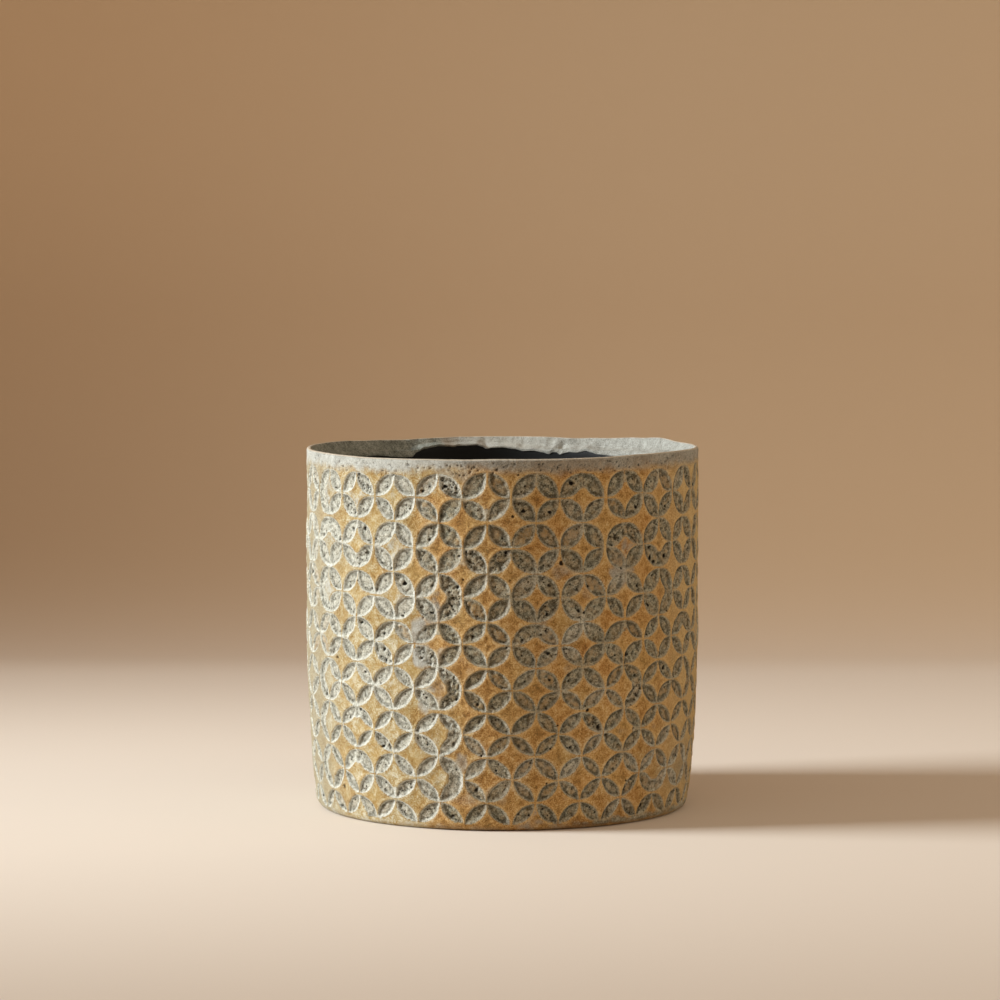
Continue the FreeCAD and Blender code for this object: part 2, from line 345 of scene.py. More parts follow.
# a recess is steep at its upper left and slants at its lower right, down to a hollow floor
lower_right = np.clip((ax + 0.7 * ay) / (1.2 * rho_a + 1e-6), -1.0, 1.0)
wall_out = np.clip((in_a + edge_lump + 0.50) / (2.6 + 1.0 * lower_right), 0.0, 1.0)
wall_in = np.clip((in_b + edge_lump + 0.50) / (2.6 - 0.9 * lower_right), 0.0, 1.0)
hollow = np.clip(np.clip(in_a, 0.0, None) * np.clip(in_b, 0.0, None) / 24.0, 0.0, 1.2) ** 0.8
scoop = 0.85 * ease(np.minimum(wall_out, wall_in), 0.5) + 0.15 * hollow
scoop = np.where(cut > -1.0, scoop, 0.0)
pits_here = pitted[leaf]
floor_lump = (0.32 + 0.42 * pits_here) * n_fine + (0.34 + 0.30 * pits_here) * n_mid + 0.25 * n_big
floor_lump += tilt[leaf + (0,)] * (a - (east - 0.5) * 0.5) * 2.2
floor_lump += tilt[leaf + (1,)] * (b - (south - 0.5) * 0.5) * 2.2

# the wall's left side is worn and is painted paler where the key lamp falls, and cement is smeared over the
# relief in places
worn = smooth(-T, 0.0, 36.0) * smooth(T, -175.0, -110.0)
smear = np.zeros_like(Z)
for at_turn, at_z, half_wide, strength in SMEARS:
    off = np.hypot(along_wall(T - at_turn), 0.8 * (Z - at_z)) / half_wide
    near = 1.0 - smooth(off + 0.30 * n_big + 0.22 * n_mid, 0.45, 1.15)
    smear = np.maximum(smear, strength * near)
leaf_depth = (depth[leaf] + 0.32 * worn) * smooth(Z, 0.8, 4.5) * (1.0 - 0.35 * smear)
washed = wash[leaf] * smooth(cut, 0.9, 3.2)

# push: how far the surface stands out from the plain wall, in millimetres; the leaves are carved,
# with a low bead round them, and the raised faces are dished a little
in_band = Z > ROW_Z[0] - 1.5 + 1.6 * n_mid
carve = -leaf_depth * scoop + inside * floor_lump * 0.85 + 0.75 * washed * inside * (0.6 + 0.5 * n_mid)
dish = np.where(star, 0.28, 0.16) * smooth(-cut, 1.2, 4.5) * (~in_band)
face = 0.16 * n_fine + 0.20 * n_mid + 0.30 * n_big
push = carve + 0.18 * bell(cut, -1.05, 0.50) - dish + (1.0 - inside) * face + 0.75 * noise(P, 34.0, 14)

# ---------------------------------------------------------------- air pits
pit = np.zeros_like(Z)


def column_at(t):
    return int(round((t - turn[0]) / step_t))


def punch(t, z, r, deep):
    """One ragged round pit of radius r."""
    j0, j1 = np.searchsorted(all_z, (z - r - 1.0, z + r + 1.0))
    half = int(math.ceil((r + 1.0) / along_wall(step_t))) + 1
    cols = np.arange(column_at(t) - half, column_at(t) + half + 1)
    dt = along_wall(turn[0] + cols * step_t - t)
    spot = np.ix_(np.arange(j0, j1), cols % AROUND)
    d = np.hypot(dt[None, :], (all_z[j0:j1] - z)[:, None])
    d = d * (1.0 + 0.35 * n_fine[spot] + 0.30 * n_mid[spot])
    pit[spot] = np.maximum(pit[spot], (1.0 - smooth(d, 0.40 * r, 1.08 * r)) * deep)


# many in the leaf floors, few on the raised faces
for _ in range(5200):
    t = rng.uniform(-180.0, 180.0)
    z = rng.uniform(8.0, 262.0)
    j = min(int(np.searchsorted(all_z, z)), len(all_z) - 1)
    i = column_at(t) % AROUND
    chance = 0.85 * pits_here[j, i] if cut[j, i] > 1.0 else 0.035
    size = rng.uniform(0.75, 1.35) if rng.random() < 0.8 else rng.uniform(1.2, 1.9)
    if rng.random() < chance:
        punch(t, z, size, rng.uniform(0.5, 1.1))
# small ones in the plain band under the rim
for _ in range(420):
    punch(rng.uniform(-180.0, 180.0), rng.uniform(263.0, 272.5), rng.uniform(0.6, 1.05),
          rng.uniform(0.35, 0.8))
# a big one in the middle of a leaf here and there
for c, r, n in zip(*np.nonzero(big_pit)):
    t = (c if c < COLUMNS / 2 else c - COLUMNS) * PITCH + FIRST_TURN + (0.25 if n % 2 else -0.25) * PITCH
    v = r + 0.5 + (0.25 if n > 1 else -0.25)
    z = float(np.interp(v, np.arange(len(ROW_Z)), ROW_Z))
    if z > 9.0:
        punch(t + rng.normal(0.0, 0.6), z + rng.normal(0.0, 1.6), rng.uniform(1.3, 2.1), 1.5)
push -= 1.15 * pit

# ---------------------------------------------------------------- shares that the material reads
# bare: cement without stain, in the top band, on greyed stars, in patches, smears and at the foot
bare = Z + 2.0 * n_big + 1.2 * n_mid - 258.5 - 3.6 * bell(T, -12.0, 14.0)
bare = np.clip(bare / 13.0, 0.0, 1.0)
bare = np.maximum(bare, greyed[cell] * star * smooth(-cut, 0.0, 1.5) * (0.8 + 0.6 * n_mid + 0.4 * n_big))
bare = np.maximum(bare, 0.5 * smooth(layered(P, 21, (1.0, 24.0), (0.35, 8.0)), 0.45, 1.0))
bare = np.maximum(bare, 0.80 * smear)
bare = np.maximum(bare, 0.45 * smooth(6.0 - Z + 3.0 * n_big + 2.0 * n_mid, -3.0, 6.0))
# recess: the leaves' grey floors, and grey cement along the foot on the right
grey_foot = smooth(8.0 - Z + 3.5 * n_big + 2.0 * n_mid, -3.0, 6.0)
grey_foot *= smooth(T, 2.0, 38.0) * (1.0 - smooth(T, 120.0, 150.0))
recess = smooth(cut, -0.45, 0.15) * (1.0 - 0.45 * smear)
recess = np.maximum(recess, 0.85 * grey_foot)
# stained: stain in a leaf; core: the middle of a raised face; ridge: the edge of a leaf
stained = washed * inside * smooth(n_mid + 0.5 * n_big + 0.5, -0.6, 1.1)
core = smooth(-cut, 0.4, 4.0) * np.where(star, 1.0, 0.3)
ridge = bell(cut, 0.15, 0.50) * (0.75 + 0.35 * n_mid) * (1.0 - smooth(Z, 268.0, 271.0))
# curve: from -1 in a corner to 1 on an edge
curve = np.clip((push - spread_out(spread_out(push, 3), 2)) / 0.55, -1.0, 1.0)
# painted highlight on the recess walls: how far they turn up and to the left, towards the key lamp, where
# they are painted pale
across = (np.roll(push, -1, axis=1) - np.roll(push, 1, axis=1)) / (2.0 * along_wall(step_t))
upward = np.gradient(push, all_z, axis=0)
key_highlight = np.clip((0.90 * across - 0.45 * upward - 0.12) / 0.50, 0.0, 1.0)
key_highlight *= smooth(cut, -0.70, -0.10) * (1.0 - smooth(cut, 2.2, 3.4))
key_highlight *= smooth(T, -85.0, -50.0) * (1.0 - 0.82 * smooth(T, 3.0, 10.0)) * (1.0 - smooth(T, 100.0, 150.0))
# painted sheen: the stain is painted paler, evenly, at the two sides of the pot where the wall turns away
edge_sheen = smooth(T, 45.0, 68.0) * smooth(-T, -150.0, -105.0)
edge_sheen = edge_sheen + smooth(-T, 46.0, 72.0) * smooth(T, -175.0, -120.0)
# tone: from dark to pale at random, with the worn side palest, partly wear and partly painted light from
# the key lamp
tone = np.clip(layered(P, 31, (0.50, 46.0), (0.40, 17.0)) + 1.3 * worn - 0.15, -1.0, 1.5)

# ---------------------------------------------------------------- rings of the pot
def stack(pairs, around):
    """All radii and all heights of the rings, as two arrays. A ring is a pair of radius and height,
    each one number or one for every point round it."""
    return (np.array([np.broadcast_to(pair[n], around) for pair in pairs]) for n in (0, 1))


# they go from the underside's middle over the rim to the well's floor; the underside is flat at its
# edge and at most 0.85 mm hollow inside that
under = []
for r in np.linspace(8.0, FOOT_R - 1.2, 14):
    lift = np.clip(0.35 + 0.5 * noise(polar(r, turn, 0.0), 30.0, 61), 0.0, 1.0)
    under.append((r, lift * smooth(FOOT_R - r, 2.0, 12.0)))
under.append((FOOT_R, 0.0))

wall_r = R + push * smooth(Z, 0.0, 6.0)
wall = list(zip(wall_r, Z + (rim_z - RIM_Z)[None, :] * smooth(Z, 236.0, 272.0)))

# the rim, rounded outside and inside
out_r = wall_r[-1]
lip_in = out_r - (LIP_THICK + 0.35 * noise(polar(149.0, turn, 0.0), 6.0, 41))
lip = []
for ang in steps(LIP_STEPS, RIGHT_ANGLE):
    lip.append((out_r - LIP_ROUND * (1.0 - np.cos(ang)), rim_z - LIP_ROUND + LIP_ROUND * np.sin(ang)))
for ang in np.linspace(RIGHT_ANGLE, 0.25, 4):
    lip.append((lip_in + LIP_INNER_ROUND * (1.0 - np.cos(ang)),
                rim_z - LIP_INNER_ROUND + LIP_INNER_ROUND * np.sin(ang)))

# the smeared inner band swells towards its edge and thins out at the rim
band = []
start_r, start_z = lip[-1]
for t in steps(BAND_STEPS):
    swollen = min(t / 0.88, 1.0)
    r = start_r + (SMEAR_R - start_r) * (0.45 * swollen + 0.55 * smooth(swollen, 0.60, 1.0))
    z = start_z + (smear_z + 0.7 - start_z) * t
    lump = layered(polar(r, turn, z), 51, (0.60, 13.0), (0.42, 5.2), (0.18, 1.9))
    # one diagonal fold, raised on its left side
    fold = turn % 360.0 - (159.2 + 2.3 * t)
    crease = -0.9 * bell(fold, 0.0, 1.1) + 1.1 * bell(fold, 2.8, 1.8) - 0.5 * bell(fold, 6.5, 1.5)
    shape = (lump + crease) * np.sin(math.pi * min(t, 0.5)) * (1.0 - smooth(t, 0.86, 1.0))
    band.append((r - shape * 0.75, z + shape * 0.45))
# its edge turns under, and a slot behind it takes the liner's edge
liner_top = np.maximum(LINER_TOP, smear_z + LINER_COVER)
band += [(SMEAR_R - 0.02, smear_z + 0.25), (SMEAR_R + 0.30, smear_z), (SMEAR_R + 0.58, smear_z + 0.2),
         (SMEAR_R + 0.60, liner_top + 0.2), (WELL_R - 0.15, liner_top + 0.2), (WELL_R, liner_top - 0.6)]

# behind and under the liner, out of sight
well = [(WELL_R, z) for z in (190.0, 110.0, 40.0, WELL_FLOOR)]
well_floor = [(r, WELL_FLOOR) for r in (120.0, 70.0, 20.0)]

rings = under + wall + lip + band + well + well_floor
rings_r, rings_z = stack(rings, AROUND)
wall_0 = len(under)
lip_0 = wall_0 + len(wall)
band_0 = lip_0 + len(lip)
well_0 = band_0 + len(band)
floor_0 = well_0 + len(well)


# ---------------------------------------------------------------- meshes from rings
def grid_mesh(name, ring_r, ring_z, turns, low_cap, high_cap):
    """A closed mesh from rings of points, with a fan at each end to a middle point at the height
    low_cap or high_cap."""
    rows, cols = ring_r.shape
    pts = polar(ring_r, turns[None, :], ring_z).reshape(-1, 3) * MM
    ends = np.array([[0.0, 0.0, low_cap * MM], [0.0, 0.0, high_cap * MM]])
    verts = np.concatenate([pts, ends])
    i = np.arange(cols)
    i2 = (i + 1) % cols
    j = np.arange(rows - 1)[:, None] * cols
    quads = np.stack([j + i, j + i2, j + cols + i2, j + cols + i], axis=-1).reshape(-1, 4)
    fan_low = np.stack([i2, i, np.full(cols, rows * cols)], axis=-1)
    last = (rows - 1) * cols
    fan_high = np.stack([last + i, last + i2, np.full(cols, rows * cols + 1)], axis=-1)
    loops = np.concatenate([quads.ravel(), fan_low.ravel(), fan_high.ravel()]).astype(np.int32)
    counts = np.concatenate([np.full(len(quads), 4), np.full(2 * cols, 3)])
    starts = np.concatenate([[0], np.cumsum(counts)[:-1]]).astype(np.int32)
    mesh = bpy.data.meshes.new(name)
    mesh.vertices.add(len(verts))
    mesh.vertices.foreach_set("co", verts.astype(np.float32).ravel())
    mesh.loops.add(len(loops))
    mesh.loops.foreach_set("vertex_index", loops)
    mesh.polygons.add(len(starts))
    mesh.polygons.foreach_set("loop_start", starts)
    mesh.polygons.foreach_set("use_smooth", np.ones(len(starts), dtype=bool))
    mesh.update(calc_edges=True)
    mesh.validate(clean_customdata=False)
    return add_object(name, mesh), mesh


def add_object(name, data):
    obj = bpy.data.objects.new(name, data)
    bpy.context.scene.collection.objects.link(obj)
    return obj


def give_values(mesh, name, values):
    """values is one array over the rings; each end point takes the value of the ring beside it."""
    layer = mesh.attributes.new(name, "FLOAT", "POINT")
    flat = np.zeros(len(mesh.vertices), dtype=np.float32)
    flat[:values.size] = values.ravel()
    flat[values.size:] = values[0, 0], values[-1, 0]
    layer.data.foreach_set("value", flat)


def on_disc(disc, r, ang):
    x, y, scale, way = disc
    return np.stack([x + r * scale * np.cos(ang) * way, y + r * scale * np.sin(ang)], axis=-1)


def lay_out(mesh, ring_r, ring_z, strips, discs, sheet):
    """The flat map, in millimetres on a square sheet. Each strip of rings lies there in two halves,
    (first ring, last ring, low y of the first half, of the second, height), and each end of the mesh
    is a disc, (first ring, last ring, (x, y, scale, way round))."""
    margin, wide = 5.0, 470.0
    uv = mesh.uv_layers.new(name="OFBake")
    rows, cols = ring_r.shape
    half = cols // 2
    mean_r, mean_z = ring_r.mean(axis=1), ring_z.mean(axis=1)
    quads = np.zeros((rows - 1, cols, 4, 2))
    fans = np.zeros((2, cols, 3, 2))
    i = np.arange(cols)
    second = i >= half
    left = i - second * half
    x0 = margin + left / half * wide
    x1 = margin + (left + 1) / half * wide
    for first, last, y_a, y_b, high in strips:
        gaps = np.hypot(np.diff(mean_r[first:last + 1]), np.diff(mean_z[first:last + 1]))
        share = np.concatenate([[0.0], np.cumsum(gaps)]) / gaps.sum() * high
        base = np.where(second, y_b, y_a)
        for row in range(first, last):
            y0, y1 = base + share[row - first], base + share[row - first + 1]
            for n, (x, y) in enumerate(((x0, y0), (x1, y0), (x1, y1), (x0, y1))):
                quads[row, :, n] = np.stack([x, y], axis=-1)
    ang0 = i / cols * 2.0 * math.pi
    ang1 = (i + 1) / cols * 2.0 * math.pi
    for end, (first, last, disc) in enumerate(discs):
        for row in range(first, last):
            r0, r1 = mean_r[row], mean_r[row + 1]
            for n, (r, ang) in enumerate(((r0, ang0), (r0, ang1), (r1, ang1), (r1, ang0))):
                quads[row, :, n] = on_disc(disc, r, ang)
        fan_r = mean_r[-1] if end else mean_r[0]
        for n, ang in enumerate((ang0, ang1) if end else (ang1, ang0)):
            fans[end, :, n] = on_disc(disc, fan_r, ang)
        fans[end, :, 2] = disc[:2]
    flat = np.concatenate([quads.reshape(-1, 2), fans.reshape(-1, 2)]) / sheet
    uv.data.foreach_set("uv", flat.astype(np.float32).ravel())


def over_rings(wall_values, other):
    """Values on the wall's rings, and one value on all other rings."""
    out = np.full(rings_r.shape, other, dtype=float)
    out[wall_0:lip_0] = wall_values
    return out


pot, pot_mesh = grid_mesh("stone_pot", rings_r, rings_z, turn, 0.4, WELL_FLOOR)
fade = smooth(Z, 0.0, 5.0)
shares = {
    "recess": over_rings(recess * fade, 0.0),
    "ridge": over_rings(ridge * fade, 0.0),
    "bare": over_rings(bare, 1.0),
    "pit": over_rings(np.clip(pit, 0.0, 1.6), 0.0),
    "tone": over_rings(tone, 0.5),
    "lip": np.zeros(rings_r.shape),
    "rough": over_rings(smooth(cut, 0.5, 1.9) * np.clip(pits_here, 0.0, 1.3) * fade, 0.25),
    "stained": over_rings(stained * fade, 0.0),
    "core": over_rings(core, 0.0),
    "curve": over_rings(curve * fade, 0.0),
    "edge_sheen": over_rings(edge_sheen, 0.0),
    "key_highlight": over_rings(key_highlight * fade, 0.0),
}
shares["lip"][lip_0 + 1:band_0 - 2] = 1.0      # the top of the rim
# the inner band is painted darker on its shaded left, and is paler at the back
shares["tone"][lip_0 + 2:] -= 1.5 * smooth(-turn, 60.0, 100.0) * (1.0 - smooth(-turn, 158.0, 170.0))
shares["tone"][lip_0 + 2:] += 0.5 * bell(turn % 360.0, 178.0, 14.0)
for label, values in shares.items():
    give_values(pot_mesh, label, values)
lay_out(pot_mesh, rings_r, rings_z,
        [(wall_0 - 1, lip_0 - 1, 5.0, 295.0, 284.0),
         (lip_0 - 1, well_0 - 1, 585.0, 619.0, 30.0),
         (well_0 - 1, floor_0 - 1, 654.0, 661.0, 5.0)],
        [(0, wall_0 - 1, (575.0, 110.0, 0.65, -1.0)),
         (floor_0 - 1, len(rings) - 1, (575.0, 320.0, 0.45, 1.0))],
        670.0)

# ---------------------------------------------------------------- the liner, a thin cup with a ragged top
turn_l = np.arange(LINER_AROUND) * (360.0 / LINER_AROUND) - 180.0
top_l = np.maximum(LINER_TOP, round_curve(SMEAR_EDGE, turn_l) + LINER_COVER)
# rings from the underside's middle up the outside, over the edge and down to the floor
cup = [(r, WELL_FLOOR) for r in (8.0, 60.0, 110.0, 134.0)]
cup_corner = len(cup) - 1
for ang in steps(4, RIGHT_ANGLE):
    cup.append((LINER_R - LINER_OUTER_ROUND * (1.0 - math.sin(ang)),
                WELL_FLOOR + LINER_OUTER_ROUND * (1.0 - math.cos(ang))))
outer_z = WELL_FLOOR + LINER_OUTER_ROUND
edge_z = top_l - 0.4
for share in steps(LINER_OUTER_STEPS):
    cup.append((LINER_R, outer_z + (edge_z - outer_z) * share))
cup += [(LINER_R - LINER_EDGE, top_l - 0.05), (LINER_BORE + LINER_EDGE, top_l - 0.05), (LINER_BORE, edge_z)]
cup_edge = len(cup)
# inside, the thin plastic sags inwards a little
inner_z = LINER_FLOOR + LINER_INNER_ROUND
for share in steps(LINER_INNER_STEPS):
    z = edge_z + (inner_z - edge_z) * share
    sag = 0.45 + layered(polar(LINER_BORE, turn_l, z), 71, (0.45, 42.0), (0.15, 14.0))
    give = smooth(256.0 - z, 0.0, 20.0) * smooth(z, 24.0, 60.0)
    cup.append((LINER_BORE - 0.9 * np.clip(sag, 0.0, 1.0) * give, z))
for ang in steps(5, RIGHT_ANGLE):
    cup.append((LINER_BORE - LINER_INNER_ROUND * (1.0 - math.cos(ang)),
                LINER_FLOOR + LINER_INNER_ROUND * (1.0 - math.sin(ang))))
cup_floor = len(cup) - 1
for r in (118.0, 95.0, 70.0, 45.0, 20.0, 6.0):
    rise = 0.25 * (1.0 + noise(polar(r, turn_l, 0.0), 40.0, 73)) * smooth(130.0 - r, 0.0, 20.0)
    cup.append((r, LINER_FLOOR + rise))
cup_r, cup_z = stack(cup, LINER_AROUND)
liner, liner_mesh = grid_mesh("black_liner_cup", cup_r, cup_z, turn_l, WELL_FLOOR, LINER_FLOOR + 0.25)
lay_out(liner_mesh, cup_r, cup_z,
        [(cup_corner, cup_edge, 5.0, 60.0, 50.0), (cup_edge, cup_floor, 115.0, 395.0, 275.0)],
        [(0, cup_corner, (585.0, 100.0, 0.45, -1.0)),
         (cup_floor, len(cup) - 1, (575.0, 320.0, 0.6, 1.0))],
        680.0)


# ---------------------------------------------------------------- materials
def lin(r, g, b):
    """A linear colour from screen values out of 255."""
    return tuple(c / 12.92 if c <= 0.04045 else ((c + 0.055) / 1.055) ** 2.4
                 for c in (r / 255, g / 255, b / 255)) + (1.0,)


# colour ramps: (place, screen colour); each WORN ramp is a paler lit copy for the worn left side, partly
# wear and partly painted light, and each FULL ramp is the darker shaded copy for the right side
STAIN_FULL = ((0.33, (74, 51, 25)), (0.41, (124, 88, 43)), (0.475, (165, 122, 66)),
              (0.54, (192, 154, 95)), (0.63, (214, 192, 146)))
STAIN_WORN_LIT = ((0.34, (98, 72, 36)), (0.43, (138, 104, 54)), (0.50, (159, 129, 76)),
              (0.57, (172, 152, 108)), (0.66, (200, 192, 168)))
STAIN_ORANGE = ((0.35, (178, 126, 68)), (0.65, (184, 156, 98)))
CEMENT_FULL = ((0.37, (62, 60, 48)), (0.43, (114, 111, 94)), (0.50, (150, 147, 127)),
               (0.59, (192, 189, 168)))
CEMENT_WORN_LIT = ((0.36, (88, 85, 72)), (0.43, (160, 157, 141)), (0.50, (192, 189, 173)),
               (0.60, (229, 227, 213)))
PLAIN_FULL = ((0.36, (104, 101, 92)), (0.48, (141, 138, 128)), (0.62, (172, 170, 160)))
PLAIN_WORN_LIT = ((0.36, (144, 141, 130)), (0.48, (171, 168, 157)), (0.62, (191, 189, 178)))
PLAIN_INNER_SHADE = ((0.38, (88, 90, 82)), (0.49, (130, 132, 122)), (0.62, (168, 169, 158)))
BLACK = ((0.35, (14, 14, 13)), (0.55, (22, 22, 21)), (0.70, (36, 35, 32)))
# the colour sockets of a Mix node
MIX_A, MIX_B, MIX_OUT = 6, 7, 2


class Nodes:
    """One material, with short names for the few kinds of node that it uses."""

    def __init__(self, name):
        self.material = bpy.data.materials.new(name)
        self.material.use_nodes = True
        self.tree = self.material.node_tree
        self.shader = self.tree.nodes["Principled BSDF"]
        at, _ = self.new("ShaderNodeTexCoord", "Object")
        # the place of the point, in millimetres
        self.at, scale = self.new("ShaderNodeVectorMath", 0)
        scale.operation = "SCALE"
        scale.inputs["Scale"].default_value = 1.0 / MM
        self.link(at, scale.inputs[0])

    def new(self, kind, out):
        node = self.tree.nodes.new(kind)
        return node.outputs[out], node

    def link(self, value, socket):
        if isinstance(value, bpy.types.NodeSocket):
            self.tree.links.new(value, socket)
        else:
            socket.default_value = value

    def noise(self, scale, detail, rough):
        out, n = self.new("ShaderNodeTexNoise", "Fac")
        for key, value in (("Vector", self.at), ("Scale", scale), ("Detail", detail), ("Roughness", rough)):
            self.link(value, n.inputs[key])
        return out

    def cells(self, scale):
        """The distance to the nearest of scattered points, and that point's own number."""
        out, n = self.new("ShaderNodeTexVoronoi", "Distance")
        self.link(self.at, n.inputs["Vector"])
        self.link(scale, n.inputs["Scale"])
        return out, n.outputs["Color"]

    def values(self, *names):
        """The mesh's own values by name."""
        outs = []
        for name in names:
            out, n = self.new("ShaderNodeAttribute", "Fac")
            n.attribute_name = name
            outs.append(out)
        return outs

    def axes(self):
        out, n = self.new("ShaderNodeSeparateXYZ", "X")
        self.link(self.at, n.inputs[0])
        return out, n.outputs["Y"], n.outputs["Z"]

    def math(self, how, one, two, clamp=False):
        out, n = self.new("ShaderNodeMath", 0)
        n.operation = how
        n.use_clamp = clamp
        self.link(one, n.inputs[0])
        self.link(two, n.inputs[1])
        return out

    def times(self, one, two, clamp=False):
        return self.math("MULTIPLY", one, two, clamp)

    def plus(self, one, two):
        return self.math("ADD", one, two)

    def minus(self, one, two, clamp=False):
        return self.math("SUBTRACT", one, two, clamp)

    def larger(self, one, two):
        return self.math("MAXIMUM", one, two)

    def blend(self, *parts):
        """The sum of (value, weight) parts."""
        total = self.times(*parts[0])
        for value, weight in parts[1:]:
            total = self.plus(total, self.times(value, weight))
        return total

    def range(self, value, low, high, to_low=0.0, to_high=1.0):
        out, n = self.new("ShaderNodeMapRange", "Result")
        n.interpolation_type = "SMOOTHSTEP"
        for key, number in (("Value", value), ("From Min", low), ("From Max", high),
                            ("To Min", to_low), ("To Max", to_high)):
            self.link(number, n.inputs[key])
        return out

    def ramp(self, value, stops):
        out, n = self.new("ShaderNodeValToRGB", "Color")
        self.link(value, n.inputs[0])
        marks = n.color_ramp.elements
        while len(marks) < len(stops):
            marks.new(0.5)
        for mark, (at, colour) in zip(marks, stops):
            mark.position = at
            mark.color = lin(*colour)
        return out

    def mix(self, share, one, two):
        out, n = self.new("ShaderNodeMix", MIX_OUT)
        n.data_type = "RGBA"
        self.link(share, n.inputs["Factor"])
        self.link(one, n.inputs[MIX_A])
        self.link(two, n.inputs[MIX_B])
        return out

    def shade(self, colour, rough, shine, height=None, distance=0.0, strength=0.0):
        """Sets the shader, with a bump where there is a height, and gives the material."""
        self.link(colour, self.shader.inputs["Base Color"])
        self.link(rough, self.shader.inputs["Roughness"])
        self.link(shine, self.shader.inputs["Specular IOR Level"])
        if height is not None:
            out, n = self.new("ShaderNodeBump", "Normal")
            for key, value in (("Strength", strength), ("Distance", distance), ("Height", height)):
                self.link(value, n.inputs[key])
            self.link(out, self.shader.inputs["Normal"])
        return self.material


def cement_material():
    m = Nodes("stained_cement_finish")
    recess, ridge, bare, pit, tone, lip = m.values("recess", "ridge", "bare", "pit", "tone", "lip")
    rough, stained, core, curve, edge_sheen, key_highlight = m.values("rough", "stained", "core", "curve", "edge_sheen", "key_highlight")
    wide = m.noise(0.035, 3.0, 0.6)
    blotch = m.noise(0.16, 4.0, 0.62)
    lumps = m.noise(0.42, 3.0, 0.6)
    grain = m.noise(1.0, 3.0, 0.66)
    sand = m.noise(2.4, 2.0, 0.6)
    # west and pale grow towards the worn left side, where the colours are painted paler for the key lamp's
    # light as well as for wear
    worn_lit_west, pale = m.range(tone, -0.1, 1.0), m.range(tone, -0.15, 0.80)

    # ochre stain: brown where it pooled, orange in places, and painted paler as a sheen at the pot's two
    # sides
    stain_at = m.blend((blotch, 0.40), (grain, 0.60), (tone, 0.05))
    stain_at = m.minus(stain_at, m.times(core, m.range(worn_lit_west, 0.2, 1.0, 0.012, -0.08)))
    stain_at = m.minus(stain_at, m.times(worn_lit_west, m.range(worn_lit_west, 0.3, 1.0, 0.09, 0.045)))
    stain_at = m.plus(stain_at, m.times(curve, m.range(worn_lit_west, 0.0, 1.0, 0.07, 0.03)))
    stain = m.mix(worn_lit_west, m.ramp(stain_at, STAIN_FULL), m.ramp(stain_at, STAIN_WORN_LIT))
    orange = m.larger(m.range(tone, -0.2, 1.0, 0.30, 0.0), m.range(wide, 0.48, 0.62, 0.0, 0.30))
    stain = m.mix(orange, stain, m.ramp(wide, STAIN_ORANGE))
    grains = m.range(grain, 0.35, 0.65)
    sheen_stain = m.mix(worn_lit_west, m.mix(grains, lin(176, 148, 98), lin(208, 186, 138)),
                   m.mix(grains, lin(122, 112, 91), lin(160, 150, 126)))
    stain = m.mix(m.times(edge_sheen, 0.78), stain, sheen_stain)

    # air holes, coarse and fine, painted black as the shade inside them
    hole_d, hole_c = m.cells(0.42)
    hole_on = m.range(m.plus(hole_c, m.times(rough, 0.45)), 0.84, 0.97)
    hole = m.times(m.range(hole_d, 0.20, 0.36, 1.0, 0.0), hole_on, clamp=True)
    fine_d, fine_c = m.cells(1.05)
    fine_on = m.range(m.plus(fine_c, m.times(rough, 0.35)), 0.74, 0.90)
    fine_hole = m.times(m.range(fine_d, 0.18, 0.34, 1.0, 0.0), fine_on, clamp=True)

    # bare cement in the recesses: grey grains, light and dark, with a brown tint here and there
    speck = m.blend((lumps, 0.22), (grain, 0.40), (sand, 0.20), (fine_c, 0.18), (curve, 0.04))
    cement = m.mix(pale, m.ramp(speck, CEMENT_FULL), m.ramp(speck, CEMENT_WORN_LIT))
    brown = m.times(m.range(blotch, 0.44, 0.60), m.range(worn_lit_west, 0.1, 0.9, 0.26, 0.06))
    cement = m.mix(brown, cement, lin(158, 126, 78))

    # plain cement of the rim and the inner band, whose shaded left has a negative tone that paints shade
    # there
    cloud = m.blend((grain, 0.6), (blotch, 0.4))
    plain = m.mix(m.range(tone, 0.15, 1.1), m.ramp(cloud, PLAIN_FULL), m.ramp(cloud, PLAIN_WORN_LIT))
    plain = m.mix(m.range(tone, 0.5, -0.4, 0.0, 0.30), plain, lin(138, 112, 78))
    plain = m.mix(m.range(tone, -0.7, -0.95), plain, m.ramp(cloud, PLAIN_INNER_SHADE))

    # stain, then plain cement, then recesses with their holes and what stain got into them
    in_recess = m.range(m.plus(recess, m.times(m.minus(grain, 0.5), 0.8)), 0.25, 0.75)
    bare_at = m.range(m.plus(bare, m.times(m.minus(blotch, 0.5), 0.5)), 0.15, 0.85)
    colour = m.mix(bare_at, stain, plain)
    colour = m.mix(in_recess, colour, cement)
    # painted shade: the holes in the recesses are painted nearly black
    hole_shade = m.times(m.larger(hole, m.times(fine_hole, 0.8)), in_recess, clamp=True)
    colour = m.mix(hole_shade, colour, lin(34, 31, 25))
    washed_in = m.times(stained, m.range(grain, 0.36, 0.60, 0.30, 0.85), clamp=True)
    colour = m.mix(washed_in, colour, m.mix(blotch, lin(146, 108, 56), lin(176, 142, 88)))
    # painted shade in the small holes of the plain cement
    plain_only = m.minus(bare_at, in_recess, clamp=True)
    colour = m.mix(m.times(m.times(fine_hole, 0.75), plain_only, clamp=True), colour, lin(52, 46, 38))

